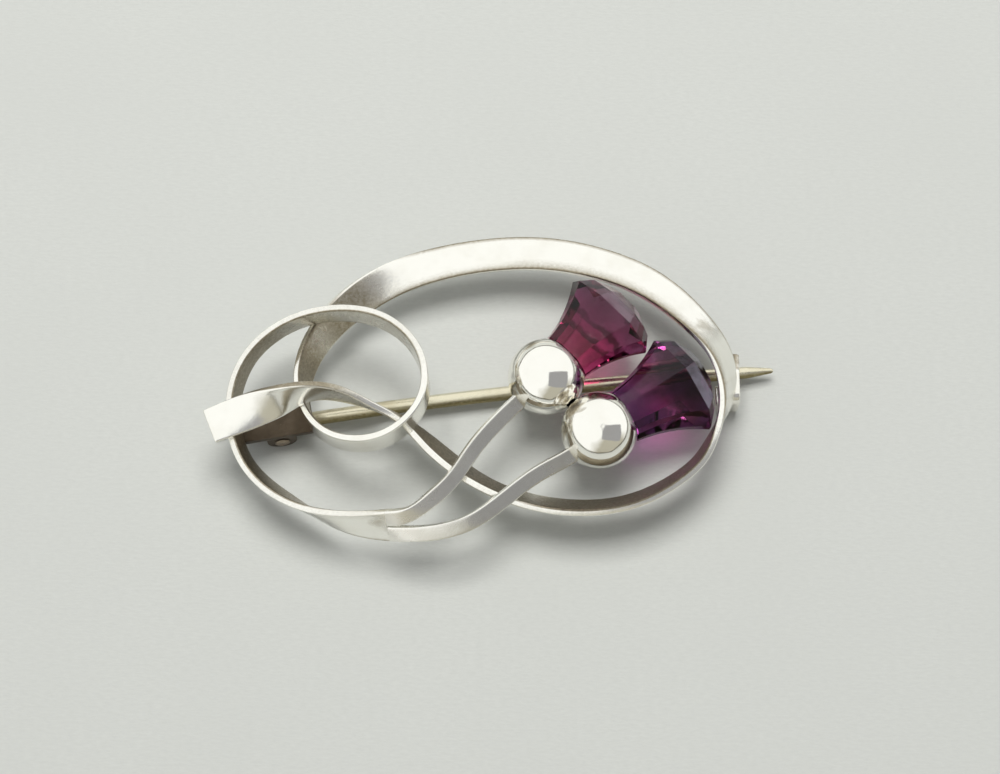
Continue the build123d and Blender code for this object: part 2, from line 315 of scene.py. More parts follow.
def silverWithWearAndPaintedLight(name, look):
    finish, tree = newFinish(name)
    place = add(tree, "TexCoord").outputs["Object"]
    broad = add(tree, "TexNoise", Vector=place, Scale=look["broadScale"], Detail=4.0, Roughness=0.55)
    speck = add(tree, "TexNoise", Vector=place, Scale=look["speckScale"], Detail=5.0, Roughness=0.7)
    grain = add(tree, "TexNoise", Vector=place, Scale=look["grainScale"], Detail=3.0, Roughness=0.6)
    stainedAndShaded = mark(tree, "tarnishAndShade")
    # tarnish and painted shade keep to the painted places and break up at their borders
    ragged = sums(tree, "MULTIPLY_ADD", speck.outputs["Fac"], 1.3)
    ragged.node.inputs[2].default_value = -0.65
    ragged = sums(tree, "MULTIPLY", ragged, sums(tree, "MINIMUM", stainedAndShaded, 0.5))
    inPlaces = sums(tree, "ADD", stainedAndShaded, ragged, True)
    film = spread(tree, broad.outputs["Fac"], 0.45, 0.8, 0.0, look["film"])
    pits = spread(tree, speck.outputs["Fac"], 0.66, 0.78, 0.0, look["pits"])
    light = spread(tree, inPlaces, 0.08, 0.5)
    deep = spread(tree, inPlaces, 0.5, 0.95)
    colour = blendColour(tree, film, look["clean"], look["filmColour"])
    if "start" in look:       # the stems begin as bright as the ribbon; further out their darker tone is painted shade
        colour = blendColour(tree, spread(tree, mark(tree, "along"), 1.5, 6.0), look["start"], colour)
    if "edge" in look:        # edges painted bright, a painted highlight
        across = sums(tree, "ABSOLUTE", mark(tree, "across"), 0.0)
        colour = blendColour(tree, spread(tree, across, 0.88, 0.96), colour, look["edge"])
    colour = blendColour(tree, pits, colour, look["pitColour"])
    # the tarnish and oxide colours also paint shade and dark reflections where the painted amount says
    colour = blendColour(tree, light, colour, look["tarnishAndShadeColour"])
    colour = blendColour(tree, deep, colour, look["oxideAndShadeColour"])
    rough = sums(tree, "ADD", spread(tree, broad.outputs["Fac"], 0.3, 0.75, *look["roughness"]),
                 sums(tree, "MULTIPLY", inPlaces, 0.28))
    metal = spread(tree, deep, 0.2, 1.0, 1.0, 0.45)
    height = sums(tree, "ADD", sums(tree, "MULTIPLY", speck.outputs["Fac"], 0.5),
                  sums(tree, "MULTIPLY", grain.outputs["Fac"], 0.5))
    bump = add(tree, "Bump", Height=height, Strength=look["bump"], Distance=0.00002)
    shader = add(tree, "BsdfPrincipled", Base_Color=colour, Metallic=metal, Roughness=rough,
                 Normal=bump.outputs[0])
    add(tree, "OutputMaterial", Surface=shader.outputs[0])
    return finish


# colours, scales of the patterns per metre, and shares of film, pits, roughness and bump
silverLook = {
    "clean": (0.95, 0.935, 0.88),
    "filmColour": (0.80, 0.77, 0.68),
    "pitColour": (0.50, 0.46, 0.38),
    "tarnishAndShadeColour": (0.38, 0.335, 0.25),
    "oxideAndShadeColour": (0.06, 0.045, 0.03),
    "broadScale": 420.0,
    "speckScale": 4200.0,
    "grainScale": 5200.0,
    "film": 0.5,
    "pits": 0.6,
    "roughness": (0.14, 0.26),
    "bump": 0.45,
}
ribbonSilver = silverWithWearAndPaintedLight("ribbonSilver", silverLook)
globeSilver = silverWithWearAndPaintedLight("globeSilver", {
    **silverLook, "roughness": (0.05, 0.11), "film": 0.3, "pits": 0.35, "bump": 0.18,
})
# stems: wide faces painted a darker grey than the ribbon as painted shade, edges painted bright as a painted
# highlight
stemSilverPaintedLight = silverWithWearAndPaintedLight("stemSilverPaintedLight", {
    **silverLook, "clean": (0.70, 0.69, 0.64), "filmColour": (0.50, 0.48, 0.42),
    "edge": (0.96, 0.95, 0.90), "start": (0.90, 0.88, 0.82),
    "roughness": (0.2, 0.32), "film": 0.7, "pits": 0.8, "bump": 0.5,
})
hingeSilver = silverWithWearAndPaintedLight("hingeSilver", {
    **silverLook, "clean": (0.15, 0.12, 0.09), "filmColour": (0.05, 0.04, 0.03), "film": 1.0,
    "speckScale": 2300.0, "pits": 0.8, "pitColour": (0.40, 0.35, 0.28),
    "tarnishAndShadeColour": (0.10, 0.075, 0.05), "roughness": (0.3, 0.45), "bump": 1.0,
})
catchSilver = silverWithWearAndPaintedLight("catchSilver", {**silverLook, "roughness": (0.12, 0.22), "film": 0.6, "bump": 0.5})
pinMetal = silverWithWearAndPaintedLight("pinMetal", {
    **silverLook, "clean": (0.80, 0.75, 0.58), "filmColour": (0.58, 0.51, 0.34), "film": 0.7,
    "tarnishAndShadeColour": (0.26, 0.22, 0.11), "roughness": (0.2, 0.32), "broadScale": 300.0,
})
rivetMetal = silverWithWearAndPaintedLight("rivetMetal", {
    **silverLook, "clean": (0.31, 0.245, 0.19), "filmColour": (0.17, 0.13, 0.10), "film": 1.0,
    "roughness": (0.3, 0.45), "bump": 0.7,
})
print("thistle brooch: metals ready")


# ribbon, in mm
ribbon = {
    "perRing": 0.11,         # step between the rings of points
    "corner": 0.16,          # rounding of the section's corners
    "dome": 0.035,           # how far the broad faces fall towards the edges
    "wobble": 0.03,          # depth of the hammered unevenness
    "seed": 3.0,
    # tarnish and painted dark reflections: first station, last station, side, strength
    "tarnishAndPaintedShade": [
        (0.6, 4.5, "high", 0.55), (6.0, 16.0, "high", 0.1), (33.5, 44.0, "low", 0.12),
        (3.6, 5.5, "top", 0.25), (25.6, 28.0, "top", 0.45), (28.0, 31.0, "top", 0.62),
        (31.0, 34.0, "top", 0.22), (34.0, 37.0, "top", 0.26), (37.0, 43.0, "top", 0.5),
        (5.0, 9.0, "topHighLine", 0.4), (14.5, 27.0, "topHighLine", 0.6), (34.0, 42.0, "topHighLine", 0.6),
        (17.0, 24.5, "topLowLine", 0.6), (27.0, 31.0, "topLowLine", 0.75), (34.0, 42.0, "topLowLine", 0.5),
        (15.5, 22.5, "topHighHalf", 0.4), (22.0, 27.0, "topHighHalf", 0.26), (24.5, 26.2, "topHighHalf", 0.3),
        (4.5, 9.0, "under", 0.74), (9.0, 14.5, "under", 0.64), (33.0, 36.0, "under", 0.2),
        (9.0, 14.0, "underHighLine", 0.8), (36.0, 42.0, "underHighLine", 0.4),
        (41.0, 44.0, "underHighLine", 0.5), (9.0, 15.0, "underLowLine", 0.8),
        (41.5, 43.6, "underLowHalf", 0.14),
    ],
    # tarnish spots: x, y, z, reach, strength
    "spots": [
        (-12.0, 8.9, 3.4, 0.9, 0.9), (-14.2, 4.6, 3.0, 1.0, 0.85), (-13.2, 6.2, 3.1, 0.8, 0.7),
        (-4.6, -4.4, 3.7, 0.7, 0.95), (-2.6, -6.2, 3.6, 0.6, 0.9), (-6.0, -2.9, 4.0, 0.6, 0.8),
        (-1.0, -7.6, 3.5, 0.5, 0.9), (17.1, 4.9, 4.7, 1.1, 0.42), (-19.6, -1.6, 4.6, 0.5, 0.35),
        (-8.9, -11.6, 5.3, 0.8, 0.4), (-9.6, 10.2, 3.8, 0.7, 0.35),
    ],
    # (along, across, height, roll): shares of the length, breadth and ribbon's width, and degrees
    "stations": [
        (-0.523, -0.161, 1.25, 3), (-0.445, -0.109, 1.36, 28), (-0.392, -0.079, 1.48, 58),
        (-0.354, -0.058, 1.51, 78), (-0.317, -0.046, 1.37, 89), (-0.233, -0.068, 0.84, 103),
        (-0.178, -0.104, 0.59, 109), (-0.114, -0.192, 0.45, 122), (-0.019, -0.317, 0.43, 123),
        (0.074, -0.381, 0.43, 124), (0.173, -0.401, 0.45, 124), (0.267, -0.376, 0.50, 121),
        (0.339, -0.314, 0.57, 116), (0.388, -0.241, 0.65, 109), (0.414, -0.161, 0.73, 98),
        (0.433, -0.076, 0.80, 80), (0.439, -0.006, 0.83, 64), (0.429, 0.102, 0.83, 45),
        (0.386, 0.216, 0.81, 29), (0.289, 0.362, 0.74, 12), (0.208, 0.424, 0.69, 7),
        (0.129, 0.457, 0.65, 3), (0.043, 0.467, 0.60, 0), (-0.043, 0.454, 0.55, -2),
        (-0.120, 0.426, 0.51, -6), (-0.187, 0.385, 0.48, -16), (-0.246, 0.325, 0.45, -30),
        (-0.291, 0.257, 0.45, -44), (-0.335, 0.154, 0.47, -58), (-0.358, 0.022, 0.50, -73),
        (-0.340, -0.114, 0.61, -87), (-0.280, -0.197, 0.93, -89), (-0.188, -0.196, 1.41, -92),
        (-0.131, -0.094, 1.57, -93), (-0.134, 0.059, 1.59, -90), (-0.202, 0.186, 1.51, -91),
        (-0.271, 0.219, 1.43, -93), (-0.381, 0.188, 1.24, -93), (-0.461, 0.077, 0.87, -88),
        (-0.485, -0.084, 0.66, -81), (-0.456, -0.254, 0.51, -71), (-0.373, -0.380, 0.50, -69),
        (-0.279, -0.452, 0.67, -99), (-0.191, -0.474, 0.93, -127), (-0.155, -0.475, 1.02, -138),
    ],
}
stems = {
    "width": 1.3,
    "openings": (0.06, 0.3),       # the saw cut where the seam begins, and a station later
    "hidden": 1.2,           # a stem ends inside its globe, this far from the centre
    "corner": 0.14,
    "dome": 0.02,
    "wobble": 0.02,
    "upperStem": {
        "globe": "upperGlobe", "side": -1, "seed": 8.0,
        "stations": [
            (-0.114, -0.399, 1.14, -146), (-0.076, -0.334, 1.10, -150), (-0.037, -0.234, 1.08, -150),
            (0.000, -0.154, 1.07, -150), (0.044, -0.076, 1.07, -150),
        ],
        "spots": [(-6.4, -11.6, 5.0, 0.5, 0.6), (-4.2, -9.2, 5.0, 0.5, 0.4)],
    },
    "lowerStem": {
        "globe": "lowerGlobe", "side": 1, "seed": 12.0,
        "stations": [
            (-0.100, -0.496, 0.93, -146), (-0.040, -0.468, 1.06, -150), (0.025, -0.389, 1.09, -150),
            (0.089, -0.305, 1.08, -150), (0.149, -0.244, 1.07, -150),
        ],
        "spots": [(-4.6, -11.9, 4.6, 0.5, 0.6)],
    },
}


def stationPoint(row):
    return (row[0] * brooch["length"], row[1] * brooch["breadth"],
            brooch["ribbonLevel"] + row[2] * brooch["ribbonWidth"])


def sidesAt(centres, rolls):
    # across and up directions of a strip, square to the line through its centres
    centres = np.array(centres, float)
    knots = lengthsAlong(centres)
    nudge = 0.001
    heading = unit(smoothRows(centres, knots, np.minimum(knots + nudge, knots[-1]))
                   - smoothRows(centres, knots, np.maximum(knots - nudge, 0)))
    inward = unit(np.cross(upwards, heading))
    rise = unit(np.cross(heading, inward))
    turn = np.radians(rolls)[:, None]
    across = inward * np.cos(turn) + rise * np.sin(turn)
    return knots, across, np.cross(heading, across)


def denseStrip(centres, across, riser, widths, knots, perRing, last=None):
    # even steps, with the added rings that a rounded end needs
    last = knots[-1] if last is None else last
    where = np.linspace(0.0, last, int(last / perRing) + 1)
    where = np.unique(np.concatenate([where, easedEnd["rings"], last - easedEnd["rings"]]))
    return (smoothRows(centres, knots, where), smoothRows(across, knots, where),
            smoothRows(riser, knots, where), smoothRows(np.array(widths)[:, None], knots, where)[:, 0])


rows = ribbon["stations"]
ribbonCentres = np.array([stationPoint(r) for r in rows])
ribbonKnots, ribbonAcross, ribbonRise = sidesAt(ribbonCentres, [r[3] for r in rows])
# the band stops where the seam between the stems begins, one station before the split
bandRows = denseStrip(ribbonCentres, ribbonAcross, ribbonRise, [brooch["ribbonWidth"]] * len(rows),
                      ribbonKnots, ribbon["perRing"], last=ribbonKnots[-2])
ribbonBand = stripMesh("ribbonBand", bandRows, brooch["thickness"], ribbon, ribbonSilver, ribbon["seed"],
                       roundEnd=False)
tarnishAndShadeZones(ribbonBand, ribbonKnots, ribbon["tarnishAndPaintedShade"], ribbon["spots"])
print("thistle brooch: ribbon", len(ribbonBand.data.vertices), "points")


def makeStem(name, look):
    starts = []
    for back, opening in zip((2, 1), stems["openings"]):
        width = (brooch["ribbonWidth"] - opening) / 2
        starts.append((ribbonCentres[-back] + ribbonAcross[-back] * look["side"] * (width + opening) / 2,
                       ribbonAcross[-back], ribbonRise[-back], width))
    seam, split = starts
    stations = look["stations"]
    centres = [split[0]] + [stationPoint(r) for r in stations] + [brooch[look["globe"]]["centre"]]
    rolls = [rows[-1][3]] + [r[3] for r in stations] + [stations[-1][3]]
    knots, across, riser = sidesAt(centres, rolls)
    across[0], riser[0] = split[1], split[2]
    before = np.linalg.norm(split[0] - seam[0])
    centres = np.vstack([seam[0], centres])
    across = np.vstack([seam[1], across])
    riser = np.vstack([seam[2], riser])
    knots = np.concatenate([[-before], knots]) + before
    widths = [seam[3], split[3]] + [stems["width"]] * (len(centres) - 2)
    dense = denseStrip(centres, across, riser, widths, knots, ribbon["perRing"],
                       last=knots[-1] - stems["hidden"])
    stem = stripMesh(name, dense, brooch["thickness"], stems, stemSilverPaintedLight, look["seed"], roundStart=False)
    stainAndShade(stem, look["spots"])


for stemName in ("upperStem", "lowerStem"):
    makeStem(stemName, stems[stemName])
print("thistle brooch: stems")


# globes
globes = {
    "rings": 130,
    "spokes": 200,
    "wobble": 0.012,
    "rim": [(0.03, 0.02), (0.005, 0.08)],        # eased edge of the seat: mm down, mm in
    # dents: offset right and up as seen from the front, reach and depth, in mm
    "upperGlobe": {
        "seed": 1.7,
        "dents": [(-1.9, 0.6, 0.5, 0.02), (0.3, -1.6, 0.4, 0.015)],
        "spots": [(2.3, -1.6, 5.6, 0.9, 0.5), (3.11, 2.47, 7.35, 0.8, 0.65), (1.71, -1.14, 6.07, 0.8, 0.7),
                  (5.6, -1.2, 6.6, 0.8, 0.3)],
    },
    "lowerGlobe": {
        "seed": 5.3,
        "dents": [(0.1, 0.4, 0.4, 0.02), (0.7, -1.3, 0.45, 0.02), (-1.9, 1.2, 0.9, 0.035)],
        "spots": [(8.03, -1.87, 7.48, 0.9, 0.8), (6.34, -2.79, 7.15, 1.2, 0.9), (5.68, -4.52, 6.54, 0.9, 0.75),
                  (9.6, -5.6, 6.6, 0.8, 0.3)],
    },
}


def dentSpot(right, high):
    radius = brooch["globeRadius"]
    back = math.sqrt(max(radius ** 2 - right ** 2 - high ** 2, 0.01))
    return Vector((right, 0, 0)) + viewUp * high + viewBack * back


def makeGlobe(name, look):
    at = brooch[name]
    centre, turn, dip = Vector(at["centre"]), math.radians(at["turn"]), math.radians(at["dip"])
    axis = Vector((math.cos(dip) * math.cos(turn), math.cos(dip) * math.sin(turn), -math.sin(dip)))
    side = Vector((-math.sin(turn), math.cos(turn), 0))
    up = axis.cross(side)
    radius, seat, spokes = brooch["globeRadius"], brooch["seatOffset"], globes["spokes"]
    sweep = math.pi - math.acos(seat / radius)
    profile = []
    for k in range(globes["rings"]):
        a = math.pi - sweep * k / globes["rings"]
        profile.append((radius * math.cos(a), radius * math.sin(a)))
    rimRadius = math.sqrt(radius ** 2 - seat ** 2)
    profile += [(seat - down, rimRadius - inwards) for down, inwards in globes["rim"]]
    profile += [(seat, rimRadius * share) for share in (0.8, 0.5, 0.2)]
    verts, faces = [centre + axis * (profile[0][0] + 0.005)], []
    for along, out in profile[1:]:
        for s in range(spokes):
            a = 2 * math.pi * s / spokes
            spot = axis * along + (side * math.cos(a) + up * math.sin(a)) * out
            if spot.length > radius * 0.98:      # on the round, not on the seat
                facing = spot.normalized()
                inward = 0.5 + 0.5 * noise.noise(spot * 0.9 + Vector((look["seed"], look["seed"], 0)))
                depth = globes["wobble"] * inward
                for right, high, reach, dent in look["dents"]:
                    near = (facing * radius - dentSpot(right, high)).length / reach
                    depth += dent * math.exp(-near * near * 2)
                spot = spot - facing * depth
            verts.append(centre + spot)
    verts.append(centre + axis * seat)
    last = 1 + (len(profile) - 2) * spokes
    for s in range(spokes):
        n = (s + 1) % spokes
        faces.append((0, 1 + s, 1 + n))
        faces.append((last + s, len(verts) - 1, last + n))
        for first in range(1, last, spokes):
            faces.append((first + s, first + spokes + s, first + spokes + n, first + n))
    globe = meshPiece(name, verts, faces, globeSilver, "brooch", "silver_frame")
    stainAndShade(globe, look["spots"])


for globeName in ("upperGlobe", "lowerGlobe"):
    makeGlobe(globeName, globes[globeName])
print("thistle brooch: globes")


# hinge plate with two ears, and the hooked catch
hinge = {
    "earRadius": 1.2,
    "earThickness": 0.8,
    "earInner": 0.73,        # rivet's middle to the ear's inner face
    "earSpots": [(-17.4, -2.2, 1.2, 2.0, 0.6)],
    "bore": 0.38,
    "plateLeft": -3.354,
    "plateRight": 2.752,
    "plateRise": 1.05,       # plate's underside above the rivet
    "plateThickness": 0.7,
    "plateEdge": 1.63,       # plate's middle to its long edges
    "plateSpots": [(-14.9, -1.5, 3.0, 3.0, 0.6), (-18.6, -3.2, 3.0, 2.5, 0.75), (-17.0, -1.2, 3.0, 1.6, 0.7)],
    "easing": 0.06,          # rounding of all edges
}
headingX = Vector(brooch["pinHeading"])
headingSide = headingX.cross(upwards)
hingePlace = Vector(brooch["hinge"])


def arcPoints(centre, radius, first, last, count):
    turns = [math.radians(first + (last - first) * k / count) for k in range(count + 1)]
    return [(centre[0] + radius * math.cos(a), centre[1] + radius * math.sin(a)) for a in turns]


def cutPlate(name, outlines, low, high, basis):
    # a flat outline with holes, given thickness and eased edges by a curve, kept as a mesh
    curve = bpy.data.curves.new(name, "CURVE")
    curve.dimensions = "2D"
    curve.fill_mode = "BOTH"
    curve.extrude = (high - low) / 2 - hinge["easing"]
    curve.bevel_depth = hinge["easing"]
    curve.bevel_resolution = 2
    curve.offset = -hinge["easing"]
    for outline in outlines:
        line = curve.splines.new("POLY")
        line.points.add(len(outline) - 1)
        for point, (x, y) in zip(line.points, outline):
            point.co = (x, y, 0, 1)
        line.use_cyclic_u = True
    holder = placed(name + "Curve", curve)
    bpy.context.view_layer.update()
    mesh = bpy.data.meshes.new_from_object(holder.evaluated_get(bpy.context.evaluated_depsgraph_get()))
    bpy.data.objects.remove(holder)
    mesh.name = name
    mesh.transform(Matrix.Scale(mm, 4) @ basis @ Matrix.Translation((0, 0, (low + high) / 2)))
    return finishedPiece(name, mesh, hingeSilver, "brooch", "silver_frame", join=2e-6)


left, right, edge = hinge["plateLeft"], hinge["plateRight"], hinge["plateEdge"]
plateOutline = [(left, -edge), (right, -edge), (right, edge), (left, edge)]
hingePlate = cutPlate("hingePlate", [plateOutline], hinge["plateRise"],
                      hinge["plateRise"] + hinge["plateThickness"],
                      basisOf(headingX, -headingSide, upwards, hingePlace))
stainAndShade(hingePlate, hinge["plateSpots"])
earTop = hinge["plateRise"] + hinge["plateThickness"] / 2
earOutline = arcPoints((0, 0), hinge["earRadius"], 180, 360, 36)
earOutline += [(hinge["earRadius"], earTop), (-hinge["earRadius"], earTop)]
earBore = arcPoints((0, 0), hinge["bore"], 0, 350, 35)
for earName, side in (("earNear", 1), ("earFar", -1)):
    low, high = sorted((side * hinge["earInner"], side * (hinge["earInner"] + hinge["earThickness"])))
    ear = cutPlate(earName, [earOutline, earBore], low, high,
                   basisOf(headingX, upwards, headingSide, hingePlace))
    stainAndShade(ear, hinge["earSpots"])

hook = {
    "strip": 0.5,            # its thickness
    "width": 1.8,
    "foot": 1.6,             # length of the lower arm
    "bend": 0.55,            # radius of both bends
    "arm": 3.3,              # length of the upper arm
    "armLevel": 3.2518,      # height of the upper arm's middle
    "place": (20.121, -0.19699, 0.0),
    "perRing": 0.08,
    "corner": 0.2,
    "dome": 0.06,
    "wobble": 0.012,
    "seed": 20.0,
    "spots": [(19.4, 2.7, 3.4, 1.0, 0.95), (20.0, 0.4, 2.2, 0.6, 0.5)],
}


def hookPath():
    bend, low, high = hook["bend"], hook["strip"] / 2, hook["armLevel"]
    points = [(hook["foot"] * (1 - k / 6), low) for k in range(7)]
    points += arcPoints((0, low + bend), bend, 270, 180, 10)[1:]
    points += [(-bend, low + bend + (high - low - 2 * bend) * k / 6) for k in range(1, 7)]
    points += arcPoints((0, high - bend), bend, 180, 90, 10)[1:]
    points += [(hook["arm"] * k / 8, high) for k in range(1, 9)]
    return points


hookCorner = Vector(hook["place"]) - Vector((hook["width"] / 2, 0, 0))
hookCentres = np.array([hookCorner + Vector((0, a, b)) for a, b in hookPath()])
hookAcross = np.tile((1.0, 0, 0), (len(hookCentres), 1))
hookRise = np.cross(unit(np.gradient(hookCentres, axis=0)), hookAcross)
hookRows = denseStrip(hookCentres, hookAcross, hookRise, [hook["width"]] * len(hookCentres),
                      lengthsAlong(hookCentres), hook["perRing"])
catchHook = stripMesh("catchHook", hookRows, hook["strip"], hook, catchSilver, hook["seed"])
stainAndShade(catchHook, hook["spots"])
print("thistle brooch: hinge and catch")


# pin and rivet
pin = {
    "radius": 0.575,
    "bow": 0.65,             # how far the shank springs out of a straight line
    "arcEnd": (23.1125, 2.2175, 1.2),
    "start": 0.55,           # where the shank begins, from the rivet's middle
    "perRing": 0.2,
    "bowed": 0.7,            # share of the length that is bowed; the rest is straight
    "point": 2.2,            # length of the point
    # share of the radius where the bow ends, where the point begins, 0.1 mm before the tip and at it
    "slimness": [1, 0.85, 0.36, 0.18],
    "around": 40,
    "paintedFrontShade": 0.55,
    "spots": [(-16.0, -2.0, 1.4, 3.0, 0.5)],
    "eyeRadius": 0.95,
    "eyeWidth": 1.3,
    "eyeBore": 0.4,
    "eyeEasing": 0.08,
    "eyeSpots": [(-17.4, -2.2, 1.2, 2.0, 0.5)],
}
rivet = {
    "radius": 0.35,
    "end": 1.56,             # from its middle to the underside of a head
    # a head's outline: mm above its underside, and radius there
    "head": [(0.0, 0.35), (0.0, 0.59), (0.03, 0.62), (0.09, 0.60), (0.15, 0.50), (0.185, 0.32), (0.2, 0.02)],
    "spots": [(-17.4, -2.2, 1.2, 3.0, 0.4)],
}


def makePin():
    start, end = hingePlace, Vector(pin["arcEnd"])
    side = upwards.cross(end - start).normalized()
    half = (end - start).length / 2
    arcRadius = (half * half + pin["bow"] ** 2) / (2 * pin["bow"])
    centre = (start + end) / 2 - side * (arcRadius - pin["bow"])
    total = arcRadius * 2 * math.asin(half / arcRadius)
    bowed, pointed = total * pin["bowed"], total - pin["point"]
    lengths = [*np.arange(pin["start"], total, pin["perRing"]), bowed, pointed - 0.06, pointed,
               pointed + 0.06, total - 0.06, total - 0.02, total]
    verts, faces = [], []
    around = pin["around"]
    for s in sorted(lengths):
        out = Matrix.Rotation(-min(s, bowed) / arcRadius, 3, "Z") @ (start - centre)
        heading = out.cross(upwards).normalized()
        spot = centre + out + heading * max(s - bowed, 0)
        radius = pin["radius"] * np.interp(s, [bowed, pointed, total - 0.1, total], pin["slimness"])
        across = heading.cross(upwards)
        for k in range(around):
            a = 2 * math.pi * k / around
            verts.append(spot + (across * math.cos(a) + upwards * math.sin(a)) * radius)
    last = len(verts) - around
    for first in range(0, last, around):
        for k in range(around):
            n = (k + 1) % around
            faces.append((first + k, first + n, first + around + n, first + around + k))
    faces += [tuple(range(around)), tuple(range(last, len(verts)))]
    return meshPiece("pinShank", verts, faces, pinMetal, "pin", "pin_stem")


def turned(name, outline, spokes, finish, body, replaced):
    # turns a closed (along, out) outline about the line through the rivet
    side = headingSide.orthogonal().normalized()
    up = headingSide.cross(side)
    verts, faces = [], []
    for along, out in outline:
        for s in range(spokes):
            a = 2 * math.pi * s / spokes
            verts.append(hingePlace + headingSide * along + (side * math.cos(a) + up * math.sin(a)) * out)
    for r in range(len(outline)):
        near, far = r * spokes, (r + 1) % len(outline) * spokes
        for s in range(spokes):
            n = (s + 1) % spokes
            faces.append((near + s, near + n, far + n, far + s))
    return meshPiece(name, verts, faces, finish, body, replaced)


def mirrored(outline):
    return [(-along, out) for along, out in reversed(outline)]


pinShank = makePin()
# the pin's front is painted darker, most below its middle: a painted shade; its top keeps the bright metal
around = np.arange(len(pinShank.data.vertices)) % pin["around"] * 2 * np.pi / pin["around"]
front = np.clip(np.cos(around) * 1.3 - np.sin(around) * 0.3, 0, 1)
stainAndShade(pinShank, pin["spots"], front * pin["paintedFrontShade"])
half, outer, bore, easing = pin["eyeWidth"] / 2, pin["eyeRadius"], pin["eyeBore"], pin["eyeEasing"]
eyeSide = [(half - easing, outer), (half - easing * 0.3, outer - easing * 0.3), (half, outer - easing),
           (half, bore + easing), (half - easing, bore)]
pinEye = turned("pinEye", eyeSide + mirrored(eyeSide), 72, pinMetal, "pin", "pin_stem")
stainAndShade(pinEye, pin["eyeSpots"])

headSide = [(rivet["end"] + up, out) for up, out in rivet["head"]]
rivetOutline = mirrored(headSide) + [(along, rivet["radius"]) for along in (-1.0, 0.0, 1.0)] + headSide
hingeRivet = turned("hingeRivet", rivetOutline, 48, rivetMetal, "brooch", "hinge_rivet")
stainAndShade(hingeRivet, rivet["spots"])
print("thistle brooch: pin and rivet")


# stones: the part's own facets, with a purple glass that has bands of colour across its axis
stones = {
    "edge": 0.05,            # mm, the facets' worn edges
    "wornAngle": 14,         # degrees between facets above which an edge is worn
    "refraction": 1.36,
    "mist": (0.20, 0.08, 0.14),        # cloudy places
    # depth and density tint what is seen through a stone; a band is its mm along the axis and colour
    "upper_stone": {
        "finish": "upperStoneGlass", "slot": "purple_stone", "globe": "upperGlobe",
        "depth": (0.60, 0.05, 0.26), "density": 255.0,
        "shineTone": (0.42, 0.35, 0.40), "shine": 0.36,
        "streaks": 0.35, "streakTone": (0.30, 0.07, 0.22),
        "bands": [
            (2.2, (0.94, 0.22, 0.44)), (4.3, (0.90, 0.14, 0.40)), (5.0, (0.80, 0.09, 0.32)),
            (5.2, (0.10, 0.01, 0.04)), (5.6, (0.12, 0.01, 0.05)), (5.85, (0.78, 0.26, 0.60)),
            (6.7, (0.56, 0.24, 0.48)), (8.6, (0.34, 0.24, 0.34)),
        ],
    },
    "lower_stone": {
        "finish": "lowerStoneGlass", "slot": "dark_purple_stone", "globe": "lowerGlobe",
        "depth": (0.50, 0.07, 0.40), "density": 130.0,
        "shineTone": (0.36, 0.33, 0.42), "shine": 0.5,
        "streaks": 0.6, "streakTone": (0.16, 0.06, 0.22),
        "bands": [
            (2.2, (0.40, 0.18, 0.40)), (3.6, (0.38, 0.15, 0.40)), (4.6, (0.92, 0.32, 0.74)),
            (6.0, (0.88, 0.24, 0.58)), (7.0, (0.34, 0.12, 0.26)), (7.6, (0.16, 0.06, 0.12)),
            (9.4, (0.10, 0.04, 0.08)),
        ],
    },
}


